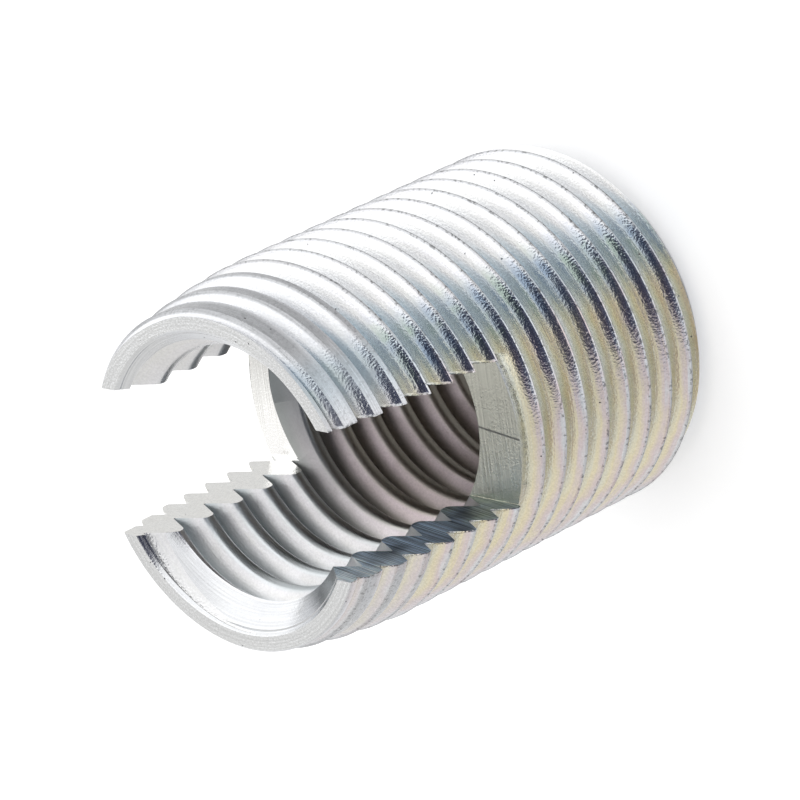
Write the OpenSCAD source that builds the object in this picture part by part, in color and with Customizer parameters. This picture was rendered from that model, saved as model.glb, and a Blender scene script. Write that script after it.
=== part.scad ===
// Slotted self-tapping threaded insert, standing on its flat end.
// Origin: centre of the flat end. +Z runs along the axis to the slotted cutting end,
// and the slot runs across the insert along X.
// Both threads are right-handed helices. The solid carries the outside thread's crest
// cylinder and the inside thread's crest bore, which are the sizes that other parts meet.

/* [Body] */
// Length of the insert from the flat end to the cutting end
body_len = 24; // [20:0.5:30]
// Outside thread, crest to crest
outer_thread_d = 18; // [17:0.1:22]
// Inside thread, crest to crest
inner_thread_d = 12.2; // [11:0.1:13]

/* [Flat end] */
// Diameter of the flat face that the insert stands on
foot_d = 16; // [15.2:0.1:16.8]
// Height of the outside chamfer above the flat face
foot_chamfer_h = 1.1; // [0.5:0.1:1.5]
// Mouth diameter of the countersink in the flat end
foot_mouth_d = 14.6; // [13.2:0.1:15]

/* [Cutting end] */
// Outside diameter at the tip of the taper
nose_d = 16.3; // [15.6:0.1:16.8]
// Length of the outside taper
taper_len = 5.8; // [4.5:0.1:9]
// Outside diameter at the knee, where the taper steepens towards its tip
knee_d = 17.5; // [17:0.1:17.9]
// Distance of the knee from the cutting end
knee_depth = 3.3; // [2:0.1:4]
// Mouth diameter of the countersink in the cutting end
nose_mouth_d = 14.8; // [13.2:0.1:15.2]

/* [Slot] */
// Width of the slot across both walls
slot_w = 7.2; // [5:0.1:8]
// Depth of the slot from the cutting end
slot_depth = 10.6; // [6:0.1:12]

/* [Hidden] */
$fn = 128;

// Radii of the turned section
outer_r = outer_thread_d / 2;
inner_r = inner_thread_d / 2;
foot_r = foot_d / 2;
foot_mouth_r = foot_mouth_d / 2;
knee_r = knee_d / 2;
nose_r = nose_d / 2;
nose_mouth_r = nose_mouth_d / 2;

// Both countersinks are cut at 45 degrees, so they are as deep as they are wide
foot_sink_h = foot_mouth_r - inner_r;
nose_sink_h = nose_mouth_r - inner_r;

// How far the slot cutter runs past the wall and past the cutting end
cutter_over = 1;

// Half section of the turned blank: radius across, height up
module blank_section() {
    polygon([
        [foot_mouth_r, 0],
        [foot_r, 0],
        [outer_r, foot_chamfer_h],
        [outer_r, body_len - taper_len],
        [knee_r, body_len - knee_depth],
        [nose_r, body_len],
        [nose_mouth_r, body_len],
        [inner_r, body_len - nose_sink_h],
        [inner_r, foot_sink_h]
    ]);
}

// The blank as it leaves the lathe
module turned_blank() {
    rotate_extrude() blank_section();
}

// The milling cut that parts the cutting end into two prongs and leaves the cutting edges
module cross_slot() {
    translate([-outer_r - cutter_over, -slot_w / 2, body_len - slot_depth])
        cube([2 * (outer_r + cutter_over), slot_w, slot_depth + cutter_over]);
}

// The whole insert: one turned piece with the slot milled through both walls
module insert_body() {
    color([0.80, 0.81, 0.78])
        difference() {
            turned_blank();
            cross_slot();
        }
}

insert_body();
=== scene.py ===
import math

import bmesh
import bpy
from bpy.props import FloatProperty, FloatVectorProperty, IntProperty, PointerProperty
from mathutils import Matrix, Vector


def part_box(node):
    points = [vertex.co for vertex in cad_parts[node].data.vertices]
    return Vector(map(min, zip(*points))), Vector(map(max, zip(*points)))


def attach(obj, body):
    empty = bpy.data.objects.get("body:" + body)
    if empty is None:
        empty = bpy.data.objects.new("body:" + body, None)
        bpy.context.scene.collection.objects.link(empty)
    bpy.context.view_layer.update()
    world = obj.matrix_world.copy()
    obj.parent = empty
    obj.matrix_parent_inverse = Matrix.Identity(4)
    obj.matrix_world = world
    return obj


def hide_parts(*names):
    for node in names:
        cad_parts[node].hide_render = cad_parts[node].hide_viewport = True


bl_info = {
    "name": "Threaded Insert",
    "version": (1, 0, 0),
    "blender": (4, 5, 0),
    "location": "View3D > Sidebar > Insert",
    "description": "Builds a slotted threaded insert in plated steel, with its studio",
    "category": "Add Mesh",
}

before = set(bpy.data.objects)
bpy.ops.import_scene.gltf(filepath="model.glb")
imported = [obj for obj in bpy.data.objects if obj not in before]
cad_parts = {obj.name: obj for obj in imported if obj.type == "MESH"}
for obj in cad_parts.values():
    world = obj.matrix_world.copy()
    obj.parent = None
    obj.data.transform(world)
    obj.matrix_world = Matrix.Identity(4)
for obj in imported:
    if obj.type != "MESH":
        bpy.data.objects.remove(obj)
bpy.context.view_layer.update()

NODE = "insert_body"
PIECE = "plated_insert"
BODY_LOW, BODY_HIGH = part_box(NODE)

MM = 0.001
FULL_TURN = 2 * math.pi
FLANK_SLOPE = math.tan(math.radians(30))
SPARE_TURNS = 2
ROUND_STEPS = 3
LAND_PER_ROUND = 2.2  # the crest's land, in setbacks of its rounded lower corner
FACET_ROOM = 2.4  # depth of a groove, in facets, below which the facet shrinks
WELD = 0.0005 * MM
ON_PLANE = WELD / 10
END_OVER = 0.5 * MM
CUTTER_OVER = 1 * MM
BORE_CLEAR = 0.2 * MM
NOSE_BREAK = 0.06 * MM
MOUTH_LINE, MOUTH_LINE_WIDTH = 0.17 * MM, 0.07 * MM
SHARP_DEG = 32
LEVEL = 0.999  # upright part of the normal above which a face counts as level


# -------------------------------- settings

class InsertSizes(bpy.types.PropertyGroup):
    """Sizes of the turned and milled body."""

    length: FloatProperty(
        name="Length", description="From the flat end to the cutting end",
        default=BODY_HIGH.z - BODY_LOW.z, unit="LENGTH", precision=5)
    outer_radius: FloatProperty(
        name="Outside radius", description="Radius over the crests of the outside thread",
        default=BODY_HIGH.x, unit="LENGTH", precision=5)
    outer_root: FloatProperty(
        name="Outside root radius", description="Radius at the bottom of the outside thread",
        default=7.95 * MM, unit="LENGTH", precision=5)
    outer_pitch: FloatProperty(
        name="Outside pitch", description="Height of one turn of the outside thread",
        default=1.5 * MM, unit="LENGTH", precision=5)
    outer_start: FloatProperty(
        name="Outside thread start",
        description="Height where the first crest's lower corner crosses +X",
        default=0.141 * MM, unit="LENGTH", precision=5)
    land: FloatProperty(
        name="Crest land", description="Width of the flat on the outside thread's crest",
        default=0.10 * MM, unit="LENGTH", precision=5)
    facet_height: FloatProperty(
        name="Crest facet height", description="Height of the worn facet above the land",
        default=0.30 * MM, unit="LENGTH", precision=5)
    facet_depth: FloatProperty(
        name="Crest facet depth", description="Depth of the worn facet above the land",
        default=0.24 * MM, unit="LENGTH", precision=5)
    crest_round: FloatProperty(
        name="Crest rounding", description="Setback of the rounded corner below the facet",
        default=0.19 * MM, unit="LENGTH", precision=5)
    root_round: FloatProperty(
        name="Root rounding", description="Setback of the rounding in both threads' roots",
        default=0.11 * MM, unit="LENGTH", precision=5)
    nose_radius: FloatProperty(
        name="Nose radius", description="Crest radius at the cutting end",
        default=8.15 * MM, unit="LENGTH", precision=5)
    knee_radius: FloatProperty(
        name="Knee radius", description="Crest radius where the taper changes its slope",
        default=8.75 * MM, unit="LENGTH", precision=5)
    knee_depth: FloatProperty(
        name="Knee depth", description="Distance of that knee below the cutting end",
        default=3.3 * MM, unit="LENGTH", precision=5)
    taper_len: FloatProperty(
        name="Taper length", description="Length of the whole taper",
        default=5.8 * MM, unit="LENGTH", precision=5)
    inner_radius: FloatProperty(
        name="Inside crest radius", description="Radius inside the crests of the inside thread",
        default=6.1 * MM, unit="LENGTH", precision=5)
    inner_root: FloatProperty(
        name="Inside root radius", description="Radius at the bottom of the inside thread",
        default=7.38 * MM, unit="LENGTH", precision=5)
    inner_pitch: FloatProperty(
        name="Inside pitch", description="Height of one turn of the inside thread",
        default=2.0 * MM, unit="LENGTH", precision=5)
    inner_start: FloatProperty(
        name="Inside thread start",
        description="Height where the inside thread's first root crosses +X",
        default=0.416 * MM, unit="LENGTH", precision=5)
    inner_land: FloatProperty(
        name="Inside crest land", description="Width of the flat on the inside thread's crest",
        default=0.55 * MM, unit="LENGTH", precision=5)
    inner_round: FloatProperty(
        name="Inside rounding", description="Setback of the inside thread's rounded crests",
        default=0.19 * MM, unit="LENGTH", precision=5)
    foot_radius: FloatProperty(
        name="Foot radius", description="Outside radius of the flat face it stands on",
        default=8.0 * MM, unit="LENGTH", precision=5)
    foot_chamfer: FloatProperty(
        name="Foot chamfer", description="Height of the chamfer above the flat face",
        default=1.1 * MM, unit="LENGTH", precision=5)
    foot_mouth: FloatProperty(
        name="Foot mouth radius", description="Countersink radius in the flat end",
        default=7.3 * MM, unit="LENGTH", precision=5)
    nose_mouth: FloatProperty(
        name="Nose mouth radius", description="Countersink radius in the cutting end",
        default=7.4 * MM, unit="LENGTH", precision=5)
    slot_width: FloatProperty(
        name="Slot width", description="Width of the slot across both walls",
        default=7.2 * MM, unit="LENGTH", precision=5)
    slot_depth: FloatProperty(
        name="Slot depth", description="Depth of the slot from the cutting end",
        default=10.6 * MM, unit="LENGTH", precision=5)
    steps: IntProperty(
        name="Steps per turn", description="Faces round one turn of a thread",
        default=160, min=32, max=256)


# -------------------------------- modelling

def spun(outline, pitch, turns, steps, rounding=None):
    """A bmesh made by spinning an outline of (radius, height) points about the axis.

    With a pitch the outline is one turn of a thread: it climbs as it turns, and copies of
    the turn are stacked and welded into one continuous helix. Without one it closes on itself.
    Rounding gives the setback of each corner that is rounded, by its place in the outline.
    """
    bm = bmesh.new()
    points = [bm.verts.new((radius, 0, height)) for radius, height in outline]
    for pair in zip(points, points[1:]):
        bm.edges.new(pair)
    for index, setback in (rounding or {}).items():
        bmesh.ops.bevel(
            bm, geom=[points[index]], offset=setback, segments=ROUND_STEPS, profile=0.5,
            affect="VERTICES", material=-1)
    bmesh.ops.spin(
        bm, geom=bm.verts[:] + bm.edges[:], cent=(0, 0, 0), axis=(0, 0, 1),
        dvec=(0, 0, pitch / steps), angle=FULL_TURN, steps=steps, use_merge=not pitch)
    first_turn = bm.verts[:] + bm.edges[:] + bm.faces[:]
    for turn in range(1, turns):
        copy = bmesh.ops.duplicate(bm, geom=first_turn)["geom"]
        moved = [part for part in copy if isinstance(part, bmesh.types.BMVert)]
        bmesh.ops.translate(bm, vec=(0, 0, turn * pitch), verts=moved)
    bmesh.ops.remove_doubles(bm, verts=bm.verts[:], dist=WELD)
    return bm


def capped(bm, low, high):
    """Cuts a helix square at two heights and closes both ends."""
    for height, side in ((low, -1), (high, 1)):
        cut = bmesh.ops.bisect_plane(
            bm, geom=bm.verts[:] + bm.edges[:] + bm.faces[:], dist=ON_PLANE,
            plane_co=(0, 0, height), plane_no=(0, 0, side), clear_outer=True)["geom_cut"]
        rim = [part for part in cut if isinstance(part, bmesh.types.BMEdge)]
        bmesh.ops.contextual_create(bm, geom=rim)
    bmesh.ops.recalc_face_normals(bm, faces=bm.faces[:])
    return bm


def as_object(bm, name):
    """Puts a bmesh into a new object at the origin."""
    mesh = bpy.data.meshes.new(name)
    bm.to_mesh(mesh)
    bm.free()
    piece = bpy.data.objects.new(name, mesh)
    bpy.context.scene.collection.objects.link(piece)
    return piece


def taper_radius(sizes, height):
    """Radius over the crests at a height above the flat end."""
    down = sizes.length - height
    stations = (
        (0.0, sizes.nose_radius),
        (sizes.knee_depth, sizes.knee_radius),
        (sizes.taper_len, sizes.outer_radius))
    for (near, near_radius), (far, far_radius) in zip(stations, stations[1:]):
        if down < far:
            return near_radius + (far_radius - near_radius) * (down - near) / (far - near)
    return sizes.outer_radius


def upper_flank_start(sizes):
    """Height, above the land's lower corner, where the upper flank would meet the crest."""
    return sizes.land + sizes.facet_height - sizes.facet_depth * FLANK_SLOPE


def dropped(sizes, place, drop):
    """Where a point of the outside thread lies once its crest has dropped by some depth.

    The roots stay. The facet and the rounding sink with the crest, and they shrink where the
    groove gets shallow.
    """
    start = upper_flank_start(sizes)
    depth = sizes.outer_radius - sizes.outer_root
    crest_zone = sizes.facet_depth + sizes.crest_round
    radius = place.xy.length
    old_depth = sizes.outer_radius - radius
    shrink = min(1.0, (depth - drop) / (FACET_ROOM * sizes.facet_depth))
    if old_depth < crest_zone:
        new_depth = drop + shrink * old_depth
    else:
        squeeze = (depth - drop - shrink * crest_zone) / (depth - crest_zone)
        new_depth = depth - (depth - old_depth) * squeeze
    pitch = sizes.outer_pitch
    turn = math.atan2(place.y, place.x) / FULL_TURN
    above = (place.z - sizes.outer_start - (turn - 0.5) * pitch) % pitch - pitch / 2
    if above > sizes.land / 2:
        off_flank = above - start - old_depth * FLANK_SLOPE
        moved = start + new_depth * FLANK_SLOPE + shrink * off_flank
    else:
        off_flank = above + old_depth * FLANK_SLOPE
        moved = shrink * off_flank - new_depth * FLANK_SLOPE
    scale = (sizes.outer_radius - new_depth) / radius
    return Vector((place.x * scale, place.y * scale, place.z + moved - above))


def threaded(sizes, outline, rounding, pitch, start):
    """A thread's helix with spare turns beyond both ends, from the outline of one turn."""
    lowest = start - SPARE_TURNS * pitch
    outline = [(radius, height + lowest) for radius, height in outline]
    turns = math.ceil(sizes.length / pitch) + 2 * SPARE_TURNS
    return spun(outline, pitch, turns, sizes.steps, rounding)


def outer_thread(sizes):
    """The threaded rod, its crests tapered towards the cutting end."""
    start = upper_flank_start(sizes)
    depth = sizes.outer_radius - sizes.outer_root
    middle_depth = (sizes.facet_depth + sizes.crest_round + depth) / 2
    middle_radius = sizes.outer_radius - middle_depth
    middle_height = start + middle_depth * FLANK_SLOPE
    pitch = sizes.outer_pitch
    outline = [
        (middle_radius, middle_height - pitch),
        (sizes.outer_root, (start + pitch) / 2 - pitch),
        (sizes.outer_radius, 0.0),
        (sizes.outer_radius, sizes.land),
        (sizes.outer_radius - sizes.facet_depth, sizes.land + sizes.facet_height),
        (middle_radius, middle_height)]
    rounding = {1: sizes.root_round, 2: sizes.land / LAND_PER_ROUND, 4: sizes.crest_round}
    bm = threaded(sizes, outline, rounding, pitch, sizes.outer_start)
    for vert in bm.verts:
        drop = sizes.outer_radius - taper_radius(sizes, vert.co.z)
        if drop > 0:
            vert.co = dropped(sizes, vert.co, drop)
    return as_object(capped(bm, -END_OVER, sizes.length + END_OVER), PIECE)


def inner_thread(sizes):
    """The cutter for the inside thread."""
    pitch = sizes.inner_pitch
    half_root = (pitch - sizes.inner_land) / 2
    outline = [
        (sizes.inner_radius, -pitch / 2),
        (sizes.inner_radius, -half_root),
        (sizes.inner_root, 0.0),
        (sizes.inner_radius, half_root),
        (sizes.inner_radius, pitch / 2)]
    rounding = {1: sizes.inner_round, 2: sizes.root_round, 3: sizes.inner_round}
    bm = threaded(sizes, outline, rounding, pitch, sizes.inner_start)
    return as_object(capped(bm, -END_OVER, sizes.length + END_OVER), "thread_cutter")


def turned(name, outline, steps):
    """A closed solid of revolution from an outline that starts and ends on the axis."""
    bm = spun(outline, 0, 1, steps)
    bmesh.ops.recalc_face_normals(bm, faces=bm.faces[:])
    return as_object(bm, name)


def outer_form(sizes):
    """The blank's envelope: square ends, the foot chamfer and the nose's broken edge."""
    slope = (sizes.outer_radius - sizes.foot_radius) / sizes.foot_chamfer
    wide = sizes.outer_radius + CUTTER_OVER
    top = sizes.length
    nose_radius = sizes.nose_radius - NOSE_BREAK
    outline = [
        (0, 0),
        (sizes.foot_radius, 0),
        (wide, (wide - sizes.foot_radius) / slope),
        (wide, top - (wide - nose_radius)),
        (nose_radius, top),
        (0, top)]
    return turned("outer_form", outline, sizes.steps)


def countersinks(sizes):
    """The cutter for both countersinks, slimmer than the bore between them.

    The one in the cutting end has a fine line turned into it near its mouth.
    """
    slim = sizes.inner_radius - BORE_CLEAR
    top = sizes.length
    mouth = sizes.nose_mouth
    line_end = MOUTH_LINE + MOUTH_LINE_WIDTH
    outline = [
        (0, -CUTTER_OVER),
        (sizes.foot_mouth + CUTTER_OVER, -CUTTER_OVER),
        (slim, sizes.foot_mouth - slim),
        (slim, top - (mouth - slim)),
        (mouth - line_end, top - line_end),
        (mouth - MOUTH_LINE, top - line_end),
        (mouth - MOUTH_LINE, top - MOUTH_LINE),
        (mouth + CUTTER_OVER, top + CUTTER_OVER),
        (0, top + CUTTER_OVER)]
    return turned("countersinks", outline, sizes.steps)


def slot_cutter(sizes):
    """The milling cut across the cutting end."""
    bm = bmesh.new()
    bmesh.ops.create_cube(bm, size=1)
    run = 2 * (sizes.outer_radius + CUTTER_OVER)
    height = sizes.slot_depth + CUTTER_OVER
    bmesh.ops.scale(bm, vec=(run, sizes.slot_width, height), verts=bm.verts[:])
    bmesh.ops.translate(
        bm, vec=(0, 0, sizes.length - sizes.slot_depth + height / 2), verts=bm.verts[:])
    return as_object(bm, "slot_cutter")


def is_closed(mesh):
    """Whether every edge of a mesh lies between two faces."""
    bm = bmesh.new()
    bm.from_mesh(mesh)
    closed = all(edge.is_manifold for edge in bm.edges)
    bm.free()
    return closed


def machined(piece, operation, cutter):
    """Applies one boolean cut, checks the result and removes the cutter."""
    cut = piece.modifiers.new(cutter.name, "BOOLEAN")
    cut.operation = operation
    cut.object = cutter
    cut.solver = "MANIFOLD"
    cut.material_mode = "TRANSFER"
    cut_mesh = bpy.data.meshes.new_from_object(
        piece.evaluated_get(bpy.context.evaluated_depsgraph_get()))
    piece.modifiers.clear()
    if not is_closed(cut_mesh) or len(cut_mesh.polygons) == len(piece.data.polygons):
        raise RuntimeError(f"{cutter.name} did not cut cleanly")
    piece.data = cut_mesh
    bpy.data.objects.remove(cutter)


def cleaned(piece):
    """Removes slivers that the cuts left loose from the body."""
    bm = bmesh.new()
    bm.from_mesh(piece.data)
    body = {max(bm.verts, key=lambda vert: vert.co.xy.length)}
    waiting = list(body)
    while waiting:
        vert = waiting.pop()
        fresh = {edge.other_vert(vert) for edge in vert.link_edges} - body
        body |= fresh
        waiting.extend(fresh)
    loose = [vert for vert in bm.verts if vert not in body]
    bmesh.ops.delete(bm, geom=loose, context="VERTS")
    bm.to_mesh(piece.data)
    bm.free()
    if not is_closed(piece.data):
        raise RuntimeError("the insert is not closed")


def shaded(piece):
    """Smooth shading with sharp edges, among them every edge of the level faces."""
    mesh = piece.data
    for face in mesh.polygons:
        face.use_smooth = True
    mesh.set_sharp_from_angle(angle=math.radians(SHARP_DEG))
    rims = {key for face in mesh.polygons if abs(face.normal.z) > LEVEL
            for key in face.edge_keys}
    for edge in mesh.edges:
        if edge.key in rims:
            edge.use_edge_sharp = True


def faced(piece, material):
    """Gives every face of a piece one material."""
    piece.data.materials.append(material)
    return piece


class INSERT_OT_body(bpy.types.Operator):
    """Build the insert: threaded outside and inside, chamfered and slotted"""

    bl_idname = "insert.body"
    bl_label = "Insert body"

    def execute(self, context):
        sizes = context.scene.insert_sizes
        finish = context.scene.insert_finish
        place = place_group()
        plating = plating_group(finish)
        marks = tool_marks_group()
        shared = (finish, place, plating, marks)
        turned_face = turned_end(sizes, *shared)
        piece = faced(outer_thread(sizes), outside_thread(sizes, *shared))
        machined(piece, "INTERSECT", faced(outer_form(sizes), turned_face))
        machined(piece, "DIFFERENCE", faced(inner_thread(sizes), inside_thread(sizes, *shared)))
        machined(piece, "DIFFERENCE", faced(countersinks(sizes), turned_face))
        machined(piece, "DIFFERENCE", faced(slot_cutter(sizes), milled_slot(sizes, *shared)))
        cleaned(piece)
        piece.data.name = PIECE
        shaded(piece)
        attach(piece, "root")
        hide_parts(NODE)
        return {"FINISHED"}


# -------------------------------- finish

def film_colour(name, description, default):
    """A colour of the plating, as a property."""
    return FloatVectorProperty(
        name=name, description=description, default=default, subtype="COLOR", min=0, max=1)


class InsertFinish(bpy.types.PropertyGroup):
    """Colours and strengths of the zinc plating, and the colours of its painted shade and
    reflection.
    """

    zinc: film_colour("Zinc", "Colour of the bare plating", (0.60, 0.61, 0.63))
    lilac: film_colour("Lilac", "Film on the crests", (0.585, 0.508, 0.515))
    straw: film_colour("Straw", "Film at the top of a flank", (0.65, 0.59, 0.425))
    green: film_colour("Green", "Film halfway down a flank", (0.62, 0.62, 0.53))
    blue: film_colour("Blue", "Film in the roots", (0.70, 0.71, 0.72))
    bore: film_colour("Bore", "Plating inside, near the mouth", (0.74, 0.76, 0.78))
    pink: film_colour("Pink", "Plating inside, deep in the bore", (0.67, 0.575, 0.60))
    # olive and slate: colours of painted shade in the inside crests and roots, deep in the bore
    # and below the slot's far end.
    olive_shade: film_colour("Olive", "Plating in the roots and crests inside", (0.42, 0.41, 0.33))
    slate_shade: film_colour("Slate", "Those crests and roots near the mouth", (0.50, 0.55, 0.57))
    pale: film_colour("Pale", "Plating on the slot's cut faces", (0.70, 0.70, 0.69))
    # teal, navy and moss: painted reflection tints, where the plating reflects the dark opening,
    # on the crest facets, in a band on one side and on the slot's near walls.
    teal_reflection: film_colour("Teal", "Film where it is thickest", (0.41, 0.475, 0.52))
    navy_reflection: film_colour("Navy", "Film on the near walls of the slot", (0.29, 0.37, 0.47))
    moss_reflection: film_colour("Moss", "Film on the same walls near the floor", (0.37, 0.455, 0.41))
    # milled: colour of painted shade on the slot's floor at its near end.
    milled: film_colour("Milled", "Colour of the slot's rough floor", (0.435, 0.435, 0.385))
    pit: film_colour("Pit", "Colour of the small dark pits", (0.10, 0.10, 0.10))
    roughness: FloatProperty(
        name="Roughness", description="Roughness of the plating", default=0.16, min=0, max=1,
        subtype="FACTOR")
    grain: FloatProperty(
        name="Grain", description="Height of the plating's grain", default=0.010 * MM,
        unit="LENGTH", precision=7)


def rgba(colour):
    """A colour with its alpha; a number stands for a grey."""
    return (colour,) * 3 + (1,) if isinstance(colour, (int, float)) else (*colour[:3], 1)


class Graph:
    """Adds nodes to one tree and joins them."""

    def __init__(self, tree):
        self.tree = tree

    def node(self, kind, inputs=None, **settings):
        """A node with its settings and its inputs."""
        made = self.tree.nodes.new(kind)
        for name, value in settings.items():
            setattr(made, name, value)
        for socket, value in (inputs or {}).items():
            self.feed(made.inputs[socket], value)
        return made

    def feed(self, socket, value):
        """Links a socket to another, or sets its value."""
        if isinstance(value, bpy.types.NodeSocket):
            self.tree.links.new(value, socket)
        elif socket.type == "RGBA":
            socket.default_value = rgba(value)
        else:
            socket.default_value = value

    def math(self, operation, *values, clamp=False):
        """One step of arithmetic."""
        return self.node("ShaderNodeMath", dict(enumerate(values)), operation=operation,
                         use_clamp=clamp).outputs[0]

    def times(self, first, *others):
        """The product of several values."""
        for value in others:
            first = self.math("MULTIPLY", first, value)
        return first

    def plus(self, first, second):
        return self.math("ADD", first, second)

    def minus(self, first, second):
        return self.math("SUBTRACT", first, second)

    def blended(self, value, span, result=(0.0, 1.0), smooth=False):
        """A value that goes from one result to the other over a span, held beyond its ends."""
        return self.node(
            "ShaderNodeMapRange",
            {"Value": value, "From Min": span[0], "From Max": span[1],
             "To Min": result[0], "To Max": result[1]},
            interpolation_type="SMOOTHSTEP" if smooth else "LINEAR").outputs["Result"]

    def ramp(self, factor, stops):
        """A colour ramp of (position, colour) stops."""
        made = self.node("ShaderNodeValToRGB", {"Fac": factor})
        elements = made.color_ramp.elements
        while len(elements) < len(stops):
            elements.new(1.0)
        for element, (position, colour) in zip(elements, stops):
            element.position = position
            element.color = rgba(colour)
        return made.outputs["Color"]

    def mix(self, factor, first, second, blend="MIX"):
        """Two colours mixed; a Mix node keeps its colour sockets at 6, 7 and 2."""
        return self.node("ShaderNodeMix", {0: factor, 6: first, 7: second},
                         data_type="RGBA", blend_type=blend).outputs[2]

    def dimmed(self, colour, gain):
        """A colour made darker or lighter by a gain."""
        return self.mix(1.0, colour, gain, "MULTIPLY")

    def noise(self, vector, scale, detail=2.0, roughness=0.5):
        return self.node("ShaderNodeTexNoise",
                         {"Vector": vector, "Scale": scale, "Detail": detail,
                          "Roughness": roughness}).outputs["Fac"]

    def placed(self, group, inputs=None):
        """The outputs of an instance of a node group."""
        made = self.node("ShaderNodeGroup", node_tree=group)
        for socket, value in (inputs or {}).items():
            self.feed(made.inputs[socket], value)
        return made.outputs


def node_group(name, inputs, outputs, fill):
    """A shader node group with named sockets; fill draws its inside and returns its results."""
    tree = bpy.data.node_groups.new(name, "ShaderNodeTree")
    for socket, (kind, value) in inputs.items():
        made = tree.interface.new_socket(socket, in_out="INPUT", socket_type="NodeSocket" + kind)
        if value is not None:
            made.default_value = value
    for socket, kind in outputs.items():
        tree.interface.new_socket(socket, in_out="OUTPUT", socket_type="NodeSocket" + kind)
    graph = Graph(tree)
    given = graph.node("NodeGroupInput").outputs
    results = graph.node("NodeGroupOutput")
    for socket, value in fill(graph, given).items():
        tree.links.new(value, results.inputs[socket])
    return tree


def place_group():
    """Where a point lies on the insert, in millimetres, and round its axis in turns."""
    def fill(graph, given):
        place = graph.node("ShaderNodeTexCoord").outputs["Object"]
        scaled = graph.node("ShaderNodeVectorMath", {0: place, 3: 1 / MM}, operation="SCALE")
        split = graph.node("ShaderNodeSeparateXYZ", {0: scaled.outputs[0]}).outputs
        square = graph.times(split["X"], split["X"])
        radius = graph.math("SQRT", graph.math("MULTIPLY_ADD", split["Y"], split["Y"], square))
        angle = graph.math("ARCTAN2", split["Y"], split["X"])
        return {"Place": scaled.outputs[0], "Radius": radius,
                "Turn": graph.math("DIVIDE", angle, FULL_TURN),
                "X": split["X"], "Y": split["Y"], "Height": split["Z"]}
    return node_group(
        "insert_place", {},
        {"Place": "Vector", "Radius": "Float", "Turn": "Float", "X": "Float", "Y": "Float",
         "Height": "Float"}, fill)


# Scales are in cycles a millimetre. A contrast is the pair of noise levels that stand for
# nothing and for all of an effect.
CLOUD_SCALE = 0.45
FLECK_SCALE = 9.0
PIT_SCALE = 2.4
GRAIN_SCALE = 9.0
FLECK_CONTRAST = (0.32, 0.68)
CLOUD_CONTRAST = (0.3, 0.7)
LINE_CONTRAST = (0.35, 0.65)
PIT_EDGE = (0.17, 0.23)
PIT_RAGGED = 0.22
PIT_DIP = -1.5
PIT_ROUGHENS = 0.3
CLOUD_ROUGHENS = (-0.04, 0.06)
ALONG_SCALE = 0.12


def plating_group(finish):
    """Zinc plating: its tint by thickness of film, its grain and its small dark pits."""
    def fill(graph, given):
        place = given["Place"]
        cloud = graph.noise(place, CLOUD_SCALE, detail=3.0, roughness=0.6)
        shifted = graph.math("MULTIPLY_ADD", graph.minus(cloud, 0.5), given["Drift"],
                             given["Film"])
        tint = graph.ramp(shifted, (
            (0.0, finish.zinc), (0.12, finish.lilac), (0.36, finish.straw),
            (0.60, finish.green), (0.88, finish.blue), (1.0, finish.zinc)))
        fleck = graph.noise(place, FLECK_SCALE, roughness=0.7)
        flecked = graph.blended(fleck, FLECK_CONTRAST, (
            graph.minus(1.0, given["Fleck"]), graph.plus(1.0, given["Fleck"])))
        tint = graph.mix(given["Tint"], given["Bare"], tint)
        # Teal lays a painted reflection tint over the film where it is fed in.
        tint = graph.mix(given["Teal"], tint, finish.teal_reflection)
        hole = graph.node("ShaderNodeTexVoronoi", {"Vector": place, "Scale": PIT_SCALE}).outputs
        chance = graph.node("ShaderNodeSeparateColor", {0: hole["Color"]}).outputs[0]
        ragged = graph.math("MULTIPLY_ADD", fleck, PIT_RAGGED, hole["Distance"])
        inside = graph.blended(ragged, PIT_EDGE, (1.0, 0.0), smooth=True)
        pitted = graph.times(inside, graph.math("LESS_THAN", chance, given["Pits"]))
        grain = graph.noise(place, GRAIN_SCALE, detail=1.0)
        smoother, rougher = (finish.roughness + change for change in CLOUD_ROUGHENS)
        rough = graph.blended(cloud, CLOUD_CONTRAST, (smoother, rougher))
        return {"Color": graph.mix(pitted, graph.dimmed(tint, flecked), finish.pit),
                "Roughness": graph.math("MULTIPLY_ADD", pitted, PIT_ROUGHENS, rough),
                "Height": graph.math("MULTIPLY_ADD", pitted, PIT_DIP, grain)}
    return node_group(
        "zinc_plating",
        {"Place": ("Vector", None), "Bare": ("Color", rgba(finish.zinc)),
         "Film": ("Float", 0.0), "Drift": ("Float", 0.6), "Tint": ("Float", 1.0),
         "Teal": ("Float", 0.0), "Pits": ("Float", 0.1), "Fleck": ("Float", 0.08)},
        {"Color": "Color", "Roughness": "Float", "Height": "Float"}, fill)


def tool_marks_group():
    """Fine parallel lines left by a cutting edge: short across, long along."""
    def fill(graph, given):
        across = graph.times(given["Across"], given["Density"])
        also = graph.times(given["Also across"], given["Density"])
        along = graph.times(given["Along"], ALONG_SCALE)
        spread = graph.node("ShaderNodeCombineXYZ", {"X": across, "Y": also, "Z": along})
        return {"Height": graph.noise(spread.outputs[0], 1.0, detail=3.0, roughness=0.7)}
    return node_group(
        "tool_marks",
        {"Across": ("Float", 0.0), "Also across": ("Float", 0.0), "Along": ("Float", 0.0),
         "Density": ("Float", 8.0)},
        {"Height": "Float"}, fill)


def thread_lines(graph, marks, where, pitch, density, run):
    """Tool marks along a thread; run is how far they go, in millimetres, in one turn."""
    climb = graph.math("MULTIPLY_ADD", where["Turn"], -pitch / MM, where["Height"])
    return graph.placed(marks, {
        "Across": climb, "Also across": where["Radius"],
        "Along": graph.times(where["Turn"], run), "Density": density})["Height"]


def raised(span, level):
    """A span of offsets moved up to a level."""
    return tuple(level + offset for offset in span)


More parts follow.
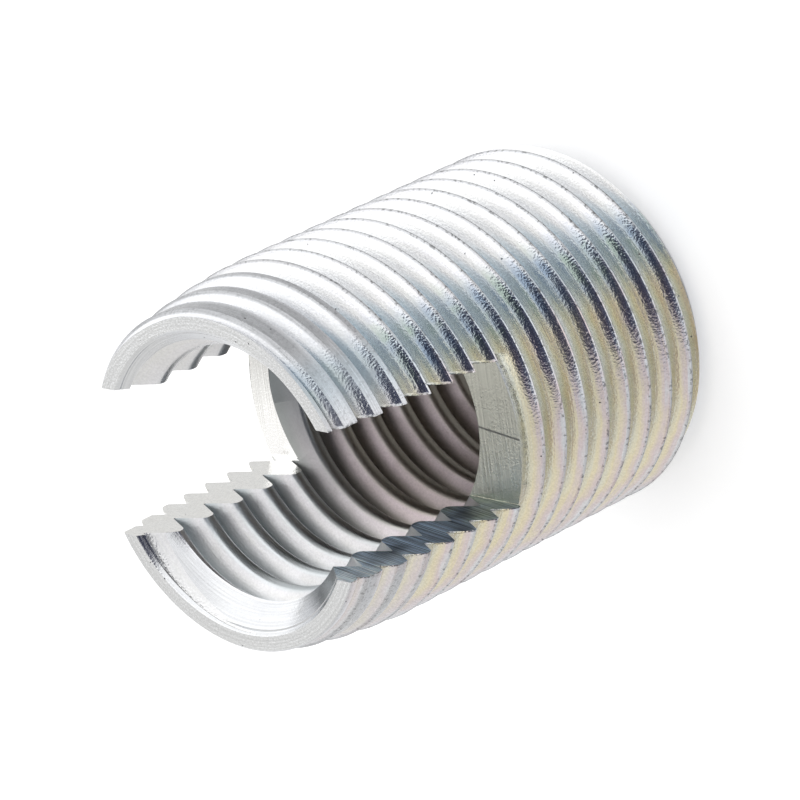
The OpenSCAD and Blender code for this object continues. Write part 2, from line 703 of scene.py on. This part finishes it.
def end_levels(sizes):
    """Heights of the cutting end and of the slot's floor, in millimetres."""
    return sizes.length / MM, (sizes.length - sizes.slot_depth) / MM


def taper_levels(sizes):
    """Heights where the taper starts and where its slope changes, in millimetres."""
    return (sizes.length - sizes.taper_len) / MM, (sizes.length - sizes.knee_depth) / MM


def start_metal(name, finish):
    """An empty plated metal: its graph, and the function that joins the results up."""
    material = bpy.data.materials.new(name)
    material.use_nodes = True
    graph = Graph(material.node_tree)
    shader = material.node_tree.nodes["Principled BSDF"]
    shader.inputs["Metallic"].default_value = 1

    def join(colour, roughness, height):
        bump = graph.node("ShaderNodeBump", {"Height": height, "Distance": finish.grain})
        graph.feed(shader.inputs["Base Color"], colour)
        graph.feed(shader.inputs["Roughness"], roughness)
        graph.feed(shader.inputs["Normal"], bump.outputs[0])
        return material

    return graph, join


# Below, a pair whose name ends with X, Y or DEPTH is a span in millimetres: along the slot,
# across it, or from a thread's crests to its roots. One that ends with TOP, FLOOR or WALL
# gives offsets from the cutting end, from the slot's floor or from the slot's walls.
# Most other pairs are what such a span gives at its two ends.

OUTSIDE_RUN = 50.0
CREST_DEPTH = (0.02, 0.08)
CREST_FILM = -0.17
LINE_FILM = 0.35
NOSE_TINT_Y = (-2.0, 2.0)
NOSE_TINT = (0.55, 0.25)
FRONT_X = (3.0, 7.5)
FRONT_TINT = (0.5, 1.0)
THIN_Y = (4.6, 6.8)
THIN_TINT = (1.0, 0.22)
# TEAL: spans of the teal band of painted reflection.
TEAL_X = (1.0, 4.0)
TEAL_START_Y = (3.6, 5.4)
TEAL_END_Y = (5.8, 6.8)
TEAL_SINKS_DEPTH = (0.30, 0.60)
TEAL_MOST = 0.72


def crest_depth(graph, sizes, where):
    """Depth below the crests of the outside thread, which follow the taper."""
    start, knee = taper_levels(sizes)
    lead = graph.blended(where["Height"], (start, knee),
                         (sizes.outer_radius / MM, sizes.knee_radius / MM))
    nose = graph.blended(where["Height"], (knee, sizes.length / MM),
                         (0, (sizes.knee_radius - sizes.nose_radius) / MM))
    return graph.minus(graph.minus(lead, nose), where["Radius"])


def film_share(graph, sizes, where):
    """How much of the film is left: all of it on the straight body, less on the taper."""
    return graph.blended(where["Height"], taper_levels(sizes),
                         (1.0, graph.blended(where["Y"], NOSE_TINT_Y, NOSE_TINT)))


def outside_coat(graph, plating, where, depth, lines, share):
    """Plating whose film thickens from the crests to the roots, with a teal band of painted
    reflection on one side.
    """
    film = graph.math("MULTIPLY_ADD", lines, LINE_FILM, graph.plus(depth, CREST_FILM))
    tint = graph.times(graph.blended(where["X"], FRONT_X, FRONT_TINT, smooth=True), share,
                       graph.blended(where["Y"], THIN_Y, THIN_TINT, smooth=True))
    # The teal band is a painted reflection tint, on the side where the plating reflects the dark
    # opening.
    sunk = graph.minus(where["Y"], graph.blended(depth, TEAL_SINKS_DEPTH))
    teal_reflection = graph.times(
        graph.blended(where["Y"], TEAL_START_Y, (0.0, TEAL_MOST), smooth=True),
        graph.blended(sunk, TEAL_END_Y, (1.0, 0.0), smooth=True),
        graph.blended(where["X"], TEAL_X, smooth=True))
    return graph.placed(plating, {
        "Place": where["Place"], "Film": film, "Tint": tint, "Teal": teal_reflection})


WEAR_SCALE = 5.5
NICK_CONTRAST = (0.54, 0.62)
NICK_MOST = 0.7
# LOW and MIDDLE: painted light, the outside colour made lighter or darker by side across Y.
LOW_Y, LOW_SIDE_LIGHT = (-4.0, 0.0), (1.12, 0.95)
MIDDLE_Y, MIDDLE_SIDE_LIGHT = (0.0, 3.0), (0.0, 0.17)
# ROOT: painted shade in the outside roots, on the -Y side.
ROOT_DEPTH, OUTER_ROOT_SHADE = (0.40, 0.85), (0.0, 0.20)
ROOT_Y = (-3.0, 0.0)
# Crests painted lighter or darker by side: a painted highlight in the middle of Y, painted shade
# low and at the top.
CREST_LIGHT_Y, CREST_LIGHT_GAIN = (-2.0, 1.5), (0.80, 1.35)
TOP_Y, TOP_CREST_SHADE = (5.0, 7.0), (0.0, -0.66)
TURNING_DENSITY = 16.0
TURNING_GAIN = (0.60, 0.95)


def outside_wear_and_painted_light(graph, finish, marks, where, depth, worn, share, colour):
    """Nicks on the crests and turning lines on the taper, with painted light and shade: the
    colour lighter or darker by side, painted shade in the roots, and crests painted lighter or
    darker by side.
    """
    crest = graph.blended(depth, CREST_DEPTH, (1.0, 0.0))
    nick = graph.blended(worn, NICK_CONTRAST, (0.0, NICK_MOST), smooth=True)
    colour = graph.mix(graph.times(crest, nick, share), colour, finish.pit)
    # Painted light: the colour made lighter or darker by side, across Y.
    gain = graph.plus(graph.blended(where["Y"], LOW_Y, LOW_SIDE_LIGHT),
                      graph.blended(where["Y"], MIDDLE_Y, MIDDLE_SIDE_LIGHT))
    # Painted shade in the roots, on the -Y side.
    root_shade = graph.times(graph.blended(depth, ROOT_DEPTH, OUTER_ROOT_SHADE),
                       graph.blended(where["Y"], ROOT_Y, (1.0, 0.0)))
    colour = graph.dimmed(colour, graph.minus(gain, root_shade))
    # Painted highlight and shade on the crests, by side across Y.
    crest_light = graph.plus(graph.blended(where["Y"], CREST_LIGHT_Y, CREST_LIGHT_GAIN),
                        graph.blended(where["Y"], TOP_Y, TOP_CREST_SHADE))
    colour = graph.mix(crest, colour, graph.dimmed(colour, crest_light))
    turning = graph.placed(marks, {
        "Across": where["Height"], "Density": TURNING_DENSITY,
        "Along": graph.times(where["Turn"], OUTSIDE_RUN)})["Height"]
    lined = graph.dimmed(colour, graph.blended(turning, LINE_CONTRAST, TURNING_GAIN))
    return graph.mix(graph.times(crest, graph.minus(1.0, share)), colour, lined)


# Spans of the painted reflection on the crest facets.
FACET_START_DEPTH = (0.04, 0.10)
FACET_END_DEPTH = (0.30, 0.42)
FRINGE_START_Y = (3.4, 4.6)
FRINGE_END_Y = (6.0, 7.2)
FRINGE_MOST = 0.95
SHEEN_SCALE = 0.7
SHEEN_CONTRAST = (0.38, 0.62)


def facet_painted_reflection(graph, finish, where, depth, share, colour):
    """Painted reflection: moss, teal and navy patches on the crest facets, where their
    reflection turns dark.
    """
    sheen = graph.ramp(
        graph.blended(graph.noise(where["Place"], SHEEN_SCALE), SHEEN_CONTRAST),
        ((0.0, finish.moss_reflection), (0.45, finish.teal_reflection), (1.0, finish.navy_reflection)))
    fringe = graph.times(
        graph.blended(depth, FACET_START_DEPTH),
        graph.blended(depth, FACET_END_DEPTH, (1.0, 0.0)),
        graph.blended(where["Y"], FRINGE_START_Y),
        graph.blended(where["Y"], FRINGE_END_Y, (FRINGE_MOST, 0.0)),
        graph.blended(where["X"], TEAL_X), share)
    return graph.mix(fringe, colour, sheen)


RIM_RAGGED = 0.10
RIM_WALL = (0.02, 0.20)
RIM_BELOW = 0.1


def slot_rim(graph, sizes, where, worn):
    """A narrow ragged band on the outside along the slot's cut edges."""
    off_slot = graph.math("MULTIPLY_ADD", worn, RIM_RAGGED,
                          graph.math("ABSOLUTE", where["Y"]))
    wall = sizes.slot_width / 2 / MM
    rim = graph.blended(off_slot, raised(RIM_WALL, wall), (1.0, 0.0))
    floor = end_levels(sizes)[1]
    above = graph.math("GREATER_THAN", where["Height"], floor - RIM_BELOW)
    return graph.times(rim, rim, above)


GRAIN_DEPTH = (0.15, 0.40)
GRAIN_Y, GRAIN_LEFT = (6.0, 7.5), (1.0, 0.2)
LINE_HEIGHT = 0.7
RIM_HEIGHT = -9.0
BURR_CONTRAST, BURR = (0.50, 0.56), (0.0, 2.0)
BURR_MOST = 0.8
NOSE_ROUGHENS = (0.10, 0.0)
SHARE_SPAN = (0.25, 1.0)


def outside_thread(sizes, finish, place, plating, marks):
    """The outside thread, with its worn crests, painted light and shade, and the cut edges of
    the slot.
    """
    graph, join = start_metal("outside_thread", finish)
    where = graph.placed(place)
    depth = crest_depth(graph, sizes, where)
    share = film_share(graph, sizes, where)
    lines = thread_lines(graph, marks, where, sizes.outer_pitch, density=9.0,
                         run=OUTSIDE_RUN)
    worn = graph.noise(where["Place"], WEAR_SCALE, roughness=0.6)
    coat = outside_coat(graph, plating, where, depth, lines, share)
    colour = outside_wear_and_painted_light(graph, finish, marks, where, depth, worn, share, coat["Color"])
    colour = facet_painted_reflection(graph, finish, where, depth, share, colour)
    rim = slot_rim(graph, sizes, where, worn)
    burr = graph.times(rim, graph.blended(worn, BURR_CONTRAST, BURR))
    colour = graph.mix(graph.math("MINIMUM", burr, BURR_MOST), colour, finish.pit)
    grain = graph.times(graph.blended(depth, GRAIN_DEPTH, (1.0, 0.0)),
                        graph.blended(where["Y"], GRAIN_Y, GRAIN_LEFT))
    grain = graph.times(coat["Height"], graph.plus(grain, 1.0))
    height = graph.math("MULTIPLY_ADD", lines, LINE_HEIGHT, grain)
    rough = graph.plus(coat["Roughness"], graph.blended(share, SHARE_SPAN, NOSE_ROUGHENS))
    return join(colour, rough, graph.math("MULTIPLY_ADD", rim, RIM_HEIGHT, height))


INSIDE_RUN = 40.0
INSIDE_LINE_FILM = 0.25
INSIDE_DEPTH_FILM = 0.12
MOUTH_FLOOR = (-3.0, 3.0)
SINK_TOP, SINK_LEFT = (-2.2, -1.2), (1.0, 0.1)
# Painted shade inside: on the crests and roots, less of it on the upper side.
INNER_CREST_DEPTH, INNER_CREST_SHADE = (0.0, 0.26), (0.75, 0.0)
INNER_ROOT_DEPTH, INNER_ROOT_SHADE = (0.40, 1.0), (0.0, 0.8)
UPPER_Y, UPPER_SHADE = (2.0, 5.0), (1.0, 0.15)
DEEP_DIM = (0.45, 0.0)
DEEP_DIM_Y = (-4.5, 2.0)
# LEDGE: painted shade on the thread flank just below the slot's floor at its far end.
LEDGE_X, LEDGE_Y, LEDGE_SHADE = (-4.5, -1.0), (-5.0, 2.0), (0.35, 1.0)
LEDGE_START_FLOOR, LEDGE_END_FLOOR = (-3.0, -1.0), (0.0, 0.5)
LEDGE_SLATE = 0.35
MOUTH_BUMPS_DEPTH, MOUTH_BUMPS = (0.85, 1.10), (0.0, 2.5)
MOUTH_BUMPS_TOP = (-1.2, -0.8)
INNER_GRAIN = 0.4
INNER_LINE_HEIGHT = 0.5
INNER_ROUGHENS = (0.24, 0.14)


def inside_shade(graph, sizes, finish, where, depth, mouth, colour):
    """Painted shade: darker crests and roots, dimmer deep in the bore and just below the slot's
    far end.
    """
    top, floor = end_levels(sizes)
    crest = graph.blended(depth, INNER_CREST_DEPTH, INNER_CREST_SHADE, smooth=True)
    root = graph.blended(depth, INNER_ROOT_DEPTH, INNER_ROOT_SHADE, smooth=True)
    below_sink = graph.blended(where["Height"], raised(SINK_TOP, top), SINK_LEFT)
    # Painted shade on the crests and roots, less of it towards +Y and near the cutting end.
    shade = graph.times(graph.math("MAXIMUM", crest, root), below_sink,
                        graph.blended(where["Y"], UPPER_Y, UPPER_SHADE))
    colour = graph.mix(shade, colour, graph.mix(mouth, finish.olive_shade, finish.slate_shade))
    # Painted shade deep in the bore, more of it towards +Y.
    dim = graph.times(graph.blended(mouth, (0.0, 1.0), DEEP_DIM),
                      graph.blended(where["Y"], DEEP_DIM_Y))
    colour = graph.mix(dim, colour, finish.olive_shade)
    # Painted shade on the flank just below the slot's floor at its far end; from above it shows
    # as a smooth dark band.
    ledge_shade = graph.times(
        graph.blended(where["X"], LEDGE_X, (1.0, 0.0)),
        graph.blended(where["Height"], raised(LEDGE_START_FLOOR, floor)),
        graph.blended(where["Height"], raised(LEDGE_END_FLOOR, floor), (1.0, 0.0)),
        graph.blended(where["Y"], LEDGE_Y, LEDGE_SHADE))
    return graph.mix(ledge_shade, colour, graph.mix(LEDGE_SLATE, finish.pit, finish.slate_shade))


def inside_thread(sizes, finish, place, plating, marks):
    """The inside thread: smooth, pale at its mouth and pinker with depth."""
    graph, join = start_metal("inside_thread", finish)
    where = graph.placed(place)
    top, floor = end_levels(sizes)
    depth = graph.minus(where["Radius"], sizes.inner_radius / MM)
    lines = thread_lines(graph, marks, where, sizes.inner_pitch, density=7.0,
                         run=INSIDE_RUN)
    film = graph.math("MULTIPLY_ADD", lines, INSIDE_LINE_FILM,
                      graph.times(depth, INSIDE_DEPTH_FILM))
    mouth = graph.blended(where["Height"], raised(MOUTH_FLOOR, floor), smooth=True)
    coat = graph.placed(plating, {
        "Place": where["Place"], "Film": film, "Pits": 0.03, "Drift": 0.3, "Tint": 0.25,
        "Bare": graph.mix(mouth, finish.pink, finish.bore)})
    colour = inside_shade(graph, sizes, finish, where, depth, mouth, coat["Color"])
    bumps = graph.times(
        graph.blended(depth, MOUTH_BUMPS_DEPTH, MOUTH_BUMPS),
        graph.blended(where["Height"], raised(MOUTH_BUMPS_TOP, top)))
    rise = graph.times(coat["Height"], graph.plus(bumps, INNER_GRAIN))
    rough = graph.plus(coat["Roughness"], graph.blended(mouth, (0.0, 1.0), INNER_ROUGHENS))
    return join(colour, rough, graph.math("MULTIPLY_ADD", lines, INNER_LINE_HEIGHT, rise))


FACE_TOP = (-0.10, -0.02)
FACE_TINT = (0.3, 0.05)
FACE_BLUE = 0.8
FACE_PITS = (0.04, 0.16)
FACE_FLECK = (0.03, 0.10)
FACE_GRAIN = (0.4, 1.1)
RING_GAIN = (0.90, 1.08)
RING_HEIGHT = 0.6


def turned_end(sizes, finish, place, plating, marks):
    """End faces, chamfers and countersinks: lines round the axis, speckled on the faces."""
    graph, join = start_metal("turned_end", finish)
    where = graph.placed(place)
    top = end_levels(sizes)[0]
    lines = graph.placed(marks, {
        "Across": where["Radius"], "Also across": where["Height"], "Density": 10.0,
        "Along": graph.times(where["Turn"], OUTSIDE_RUN)})["Height"]
    face = graph.blended(where["Height"], raised(FACE_TOP, top))

    def on_face(result):
        return graph.blended(face, (0, 1), result)

    coat = graph.placed(plating, {
        "Place": where["Place"], "Film": 0.9, "Drift": 0.5, "Tint": on_face(FACE_TINT),
        "Bare": graph.mix(graph.times(face, FACE_BLUE), finish.zinc, finish.blue),
        "Pits": on_face(FACE_PITS), "Fleck": on_face(FACE_FLECK)})
    colour = graph.dimmed(coat["Color"], graph.blended(lines, LINE_CONTRAST, RING_GAIN))
    rise = graph.times(coat["Height"], on_face(FACE_GRAIN))
    return join(colour, coat["Roughness"],
                graph.math("MULTIPLY_ADD", lines, RING_HEIGHT, rise))


STROKE_SLANT = -0.16
STROKE_CONTRAST = (0.40, 0.62)
# NEAR_STROKES: painted glints along the strokes on the slot's near walls.
FAR_STROKES, NEAR_STROKES = (0.96, 1.0), (0.4, 1.9)
NEAR_X = (-1.0, 1.0)
FLOOR_OVER = 0.02
PATCH_SCALE, PATCH_CONTRAST, PATCH_GAIN = 0.45, (0.42, 0.60), (0.50, 1.25)
# TIP: painted light, the near walls lighter towards the cutting end.
TIP_TOP, TIP_GAIN = (-4.0, -0.5), (0.0, 0.6)
WALL_CLOUD_SCALE, WALL_CLOUD_SPREAD = 0.6, 8.0
HATCH_GAIN = (0.84, 1.12)
# FLOOR: painted light on the slot's floor, towards -Y.
FLOOR_Y, FLOOR_SIDE_LIGHT = (-3.0, 1.5), (1.65, 0.98)
SCRATCH_SLANT, SCRATCH_OFFSET = 0.114, 0.645
SCRATCH_EDGE, SCRATCH = (0.03, 0.07), (0.85, 0.0)
NEAR_MARK_HEIGHT = (1.0, 4.0)
WALL_TO_FLOOR_ROUGHENS = (0.30, 0.10)


def slot_walls(graph, sizes, finish, where, coat, near, strokes):
    """The slot's walls: pale at the far end; at the near one a patchy painted dark reflection,
    painted glints along the strokes and a painted lighter tip at the cutting end.
    """
    top, floor = end_levels(sizes)
    patch = graph.blended(graph.noise(where["Place"], PATCH_SCALE, detail=1.0),
                          PATCH_CONTRAST, PATCH_GAIN)
    # Painted light: the near walls lighter towards the cutting end.
    patch = graph.plus(patch, graph.blended(where["Height"], raised(TIP_TOP, top), TIP_GAIN))
    low, high = (graph.blended(near, (0, 1), pair) for pair in zip(FAR_STROKES, NEAR_STROKES))
    # Painted glints along the strokes on the near walls.
    streak = graph.times(graph.blended(strokes, STROKE_CONTRAST, (low, high)),
                         graph.blended(near, (0, 1), (1.0, patch)))
    cloud = graph.minus(graph.noise(where["Place"], WALL_CLOUD_SCALE), 0.5)
    spread = graph.math("MULTIPLY_ADD", cloud, WALL_CLOUD_SPREAD, where["Height"])
    # Painted dark reflection in moss, navy and teal on the near walls, by height.
    film = graph.ramp(graph.blended(spread, (floor, top)), (
        (0.0, finish.moss_reflection), (0.28, finish.navy_reflection), (0.62, finish.navy_reflection), (1.0, finish.teal_reflection)))
    return graph.dimmed(graph.mix(near, coat["Color"], film), streak)


def slot_floor(graph, finish, where, near, hatch):
    """The slot's floor: painted shade at its near end, where a scratch crosses it, and painted
    light towards -Y.
    """
    # Painted shade: the floor darker at its near end.
    ground = graph.mix(near, finish.pale, finish.milled)
    ground = graph.dimmed(ground, graph.blended(hatch, LINE_CONTRAST, HATCH_GAIN))
    # Painted light: the floor lighter towards -Y.
    ground = graph.dimmed(ground, graph.blended(where["Y"], FLOOR_Y, FLOOR_SIDE_LIGHT))
    along = graph.math("MULTIPLY_ADD", where["X"], SCRATCH_SLANT, where["Y"])
    off_scratch = graph.math("ABSOLUTE", graph.minus(along, SCRATCH_OFFSET))
    scratch = graph.times(graph.blended(off_scratch, SCRATCH_EDGE, SCRATCH), near)
    return graph.mix(scratch, ground, finish.pit)


def milled_slot(sizes, finish, place, plating, marks):
    """The slot: slanting strokes on its walls, marks across its floor."""
    graph, join = start_metal("milled_slot", finish)
    where = graph.placed(place)
    slant = graph.math("MULTIPLY_ADD", where["X"], STROKE_SLANT, where["Height"])
    strokes = graph.placed(marks, {
        "Across": slant, "Along": where["X"], "Density": 14.0})["Height"]
    hatch = graph.placed(marks, {
        "Across": where["X"], "Along": where["Y"], "Density": 9.0})["Height"]
    floor = end_levels(sizes)[1]
    on_floor = graph.math("LESS_THAN", where["Height"], floor + FLOOR_OVER)
    near = graph.blended(where["X"], NEAR_X)
    coat = graph.placed(plating, {
        "Place": where["Place"], "Film": 0.5, "Drift": 0.5, "Tint": 0.1, "Pits": 0.06,
        "Bare": finish.pale})
    wall = slot_walls(graph, sizes, finish, where, coat, near, strokes)
    ground = slot_floor(graph, finish, where, near, hatch)
    height = graph.times(graph.blended(on_floor, (0, 1), (strokes, hatch)),
                         graph.blended(near, (0, 1), NEAR_MARK_HEIGHT))
    roughens = graph.blended(on_floor, (0, 1), WALL_TO_FLOOR_ROUGHENS)
    return join(graph.mix(on_floor, wall, ground),
                graph.math("MULTIPLY_ADD", near, roughens, coat["Roughness"]),
                graph.plus(height, coat["Height"]))


# -------------------------------- studio

CAMERA_AIM = Vector((-0.06, -0.10, 12.11)) * MM
CAMERA_DISTANCE = 286.8 * MM
CAMERA_AZIMUTH = math.radians(26.295)
CAMERA_ELEVATION = math.radians(41.419)
CAMERA_ROLL = math.radians(-116.0)
CAMERA_LENS = 276.31
LAMP_SIDE = Vector((-0.60, 0.75, 0.28))
TOP_SIDE = Vector((-0.10, 0.25, 0.96))
LAMP_EDGE, LAMP_STRENGTH = (0.35, 0.53), 1.6
TOP_EDGE, TOP_STRENGTH = (0.80, 0.92), 1.2
FLOOR_RADIUS = 2
FLOOR_GREY = 0.82
FLOOR_LIFT = 0.40
MIRRORED_LIFT = 0.12


def toward(azimuth, elevation):
    """Unit vector at an azimuth from +X and an elevation from the floor, in radians."""
    flat = math.cos(elevation)
    return Vector((flat * math.cos(azimuth), flat * math.sin(azimuth), math.sin(elevation)))


def add_camera(scene):
    camera_data = bpy.data.cameras.new("camera")
    camera_data.lens = CAMERA_LENS
    camera_data.clip_start = 1 * MM
    camera = bpy.data.objects.new("camera", camera_data)
    scene.collection.objects.link(camera)
    back = toward(CAMERA_AZIMUTH, CAMERA_ELEVATION)
    turn = back.to_track_quat("Z", "Y").to_matrix() @ Matrix.Rotation(CAMERA_ROLL, 3, "Z")
    camera.matrix_world = Matrix.Translation(CAMERA_AIM + CAMERA_DISTANCE * back) @ turn.to_4x4()
    scene.camera = camera


def studio_world():
    """A white tent with a big lamp and a lit top; its dark opening is behind the camera."""
    world = bpy.data.worlds.new("studio")
    world.use_nodes = True
    graph = Graph(world.node_tree)
    background = world.node_tree.nodes["Background"]
    way = graph.node("ShaderNodeTexCoord").outputs["Generated"]

    def facing(direction):
        return graph.node("ShaderNodeVectorMath", {0: way, 1: direction},
                          operation="DOT_PRODUCT").outputs["Value"]

    opening = graph.blended(facing(toward(CAMERA_AZIMUTH, CAMERA_ELEVATION)), (-1, 1))
    tent = graph.ramp(opening, (
        (0.50, (0.94, 0.93, 0.91)), (0.86, (0.95, 0.96, 0.97)), (0.90, (0.84, 0.86, 0.89)),
        (0.936, (0.56, 0.59, 0.64)), (0.958, (0.075, 0.08, 0.13)), (1.0, (0.05, 0.055, 0.09))))
    lamp = graph.blended(facing(LAMP_SIDE.normalized()), LAMP_EDGE, smooth=True)
    lit = graph.mix(lamp, tent, LAMP_STRENGTH)
    top = graph.blended(facing(TOP_SIDE.normalized()), TOP_EDGE, smooth=True)
    lit = graph.mix(top, lit, TOP_STRENGTH)
    seen = graph.node("ShaderNodeLightPath").outputs["Is Camera Ray"]
    graph.feed(background.inputs["Color"], graph.mix(seen, lit, 1.0))
    return world


def floor_material():
    """A white sweep, lifted to plain white where nothing shades it."""
    material = bpy.data.materials.new("floor")
    material.use_nodes = True
    graph = Graph(material.node_tree)
    shader = material.node_tree.nodes["Principled BSDF"]
    shader.inputs["Base Color"].default_value = rgba(FLOOR_GREY)
    shader.inputs["Roughness"].default_value = 0.9
    shader.inputs["Emission Color"].default_value = rgba(1.0)
    ray = graph.node("ShaderNodeLightPath").outputs
    mirrored = graph.math("ADD", ray["Is Glossy Ray"], ray["Is Transmission Ray"], clamp=True)
    lift = graph.times(mirrored, MIRRORED_LIFT)
    lift = graph.math("MULTIPLY_ADD", ray["Is Camera Ray"], FLOOR_LIFT, lift)
    graph.feed(shader.inputs["Emission Strength"], lift)
    return material


class INSERT_OT_stage(bpy.types.Operator):
    """Add the floor, the lit tent and the camera"""

    bl_idname = "insert.stage"
    bl_label = "Studio"

    def execute(self, context):
        scene = context.scene
        scene.view_settings.view_transform = "Standard"
        scene.world = studio_world()
        bm = bmesh.new()
        bmesh.ops.create_circle(bm, cap_ends=True, radius=FLOOR_RADIUS, segments=64)
        floor = as_object(bm, "floor")
        floor.data.materials.append(floor_material())
        add_camera(scene)
        return {"FINISHED"}


class INSERT_PT_panel(bpy.types.Panel):
    """Lists the insert's build steps."""

    bl_idname = "INSERT_PT_panel"
    bl_label = "Threaded Insert"
    bl_space_type = "VIEW_3D"
    bl_region_type = "UI"
    bl_category = "Insert"

    def draw(self, context):
        layout = self.layout
        for step in STEPS:
            layout.operator(step.bl_idname)


STEPS = (INSERT_OT_body, INSERT_OT_stage)
CLASSES = (InsertSizes, InsertFinish, *STEPS, INSERT_PT_panel)


def register():
    for item in CLASSES:
        bpy.utils.register_class(item)
    bpy.types.Scene.insert_sizes = PointerProperty(type=InsertSizes)
    bpy.types.Scene.insert_finish = PointerProperty(type=InsertFinish)


def unregister():
    del bpy.types.Scene.insert_finish
    del bpy.types.Scene.insert_sizes
    for item in reversed(CLASSES):
        bpy.utils.unregister_class(item)


def main():
    register()
    bpy.ops.insert.body()
    bpy.ops.insert.stage()


if __name__ == "__main__":
    main()
